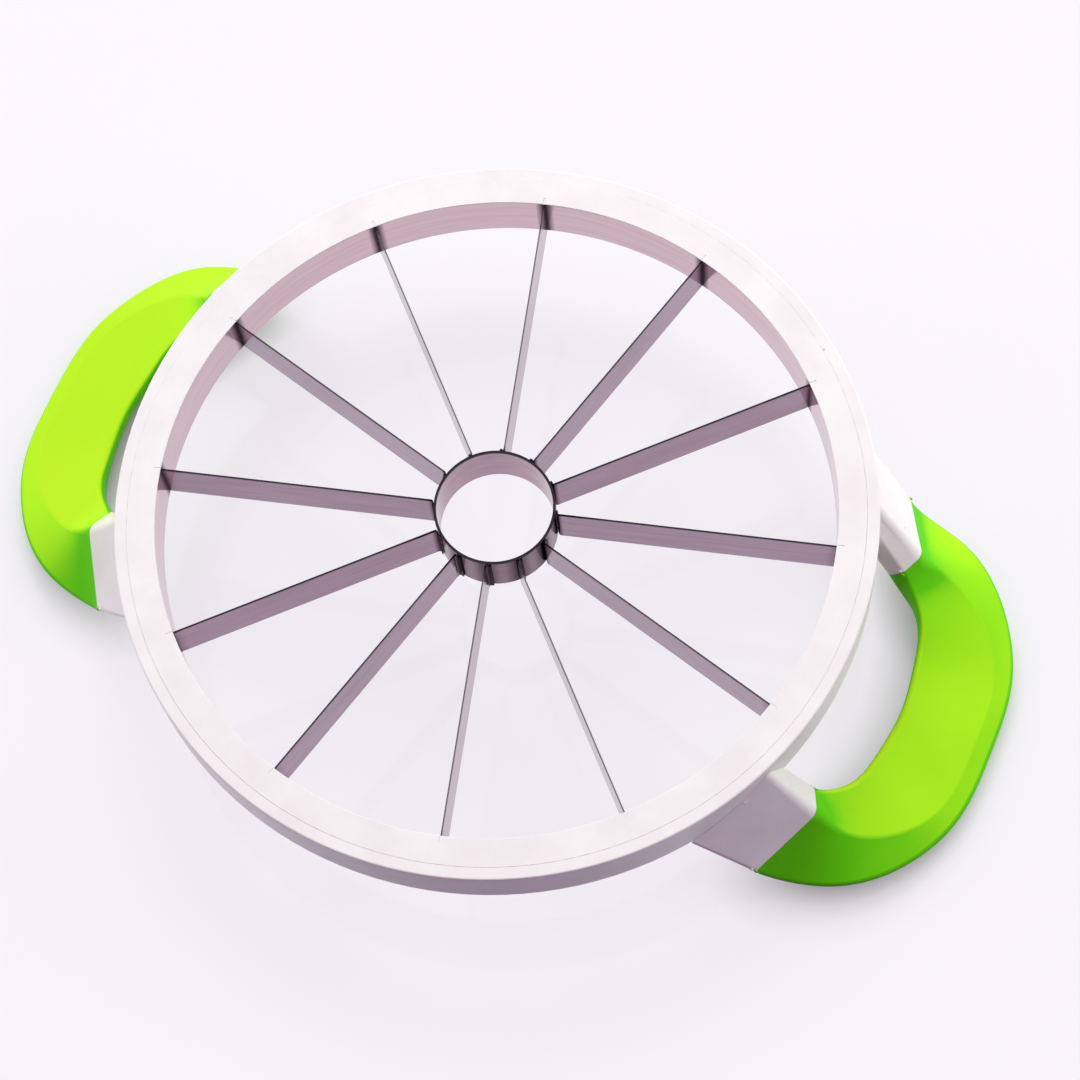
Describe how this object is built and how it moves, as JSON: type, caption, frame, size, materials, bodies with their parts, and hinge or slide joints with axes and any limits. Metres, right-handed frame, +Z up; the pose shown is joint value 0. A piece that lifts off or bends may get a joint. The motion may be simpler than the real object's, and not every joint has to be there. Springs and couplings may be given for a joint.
{
  "type": "melon slicer",
  "caption": "Ring-shaped melon slicer: thin steel blades run like spokes from a white ring to a steel core ring, and bow handles with soft grips drop from its sides.",
  "frame": {"origin": "on the table, under the centre of the ring: z = 0 is the plane that the two grips stand on", "axes": "+X through the middle of a handle, +Z up, the way that the cutting edges face"},
  "size_m": [0.394, 0.28, 0.069],
  "materials": {
    "white_abs": "glossy moulded ABS",
    "green_tpe": "satin soft-touch TPE",
    "polished_steel": "polished stainless sheet",
    "screw_steel": "zinc-plated"
  },
  "bodies": {
    "root": {"ring_body": "white_abs", "ring_cap": "white_abs", "blade_hoop": "polished_steel", "core_ring": "polished_steel", "blade_01": "polished_steel", "blade_02": "polished_steel", "blade_03": "polished_steel", "blade_04": "polished_steel", "blade_05": "polished_steel", "blade_06": "polished_steel", "blade_07": "polished_steel", "blade_08": "polished_steel", "blade_09": "polished_steel", "blade_10": "polished_steel", "blade_11": "polished_steel", "blade_12": "polished_steel", "handle_frame_right": "white_abs", "handle_frame_left": "white_abs", "grip_right": "green_tpe", "grip_left": "green_tpe", "ring_screws": "screw_steel", "handle_screws": "screw_steel"}
  },
  "joints": []
}
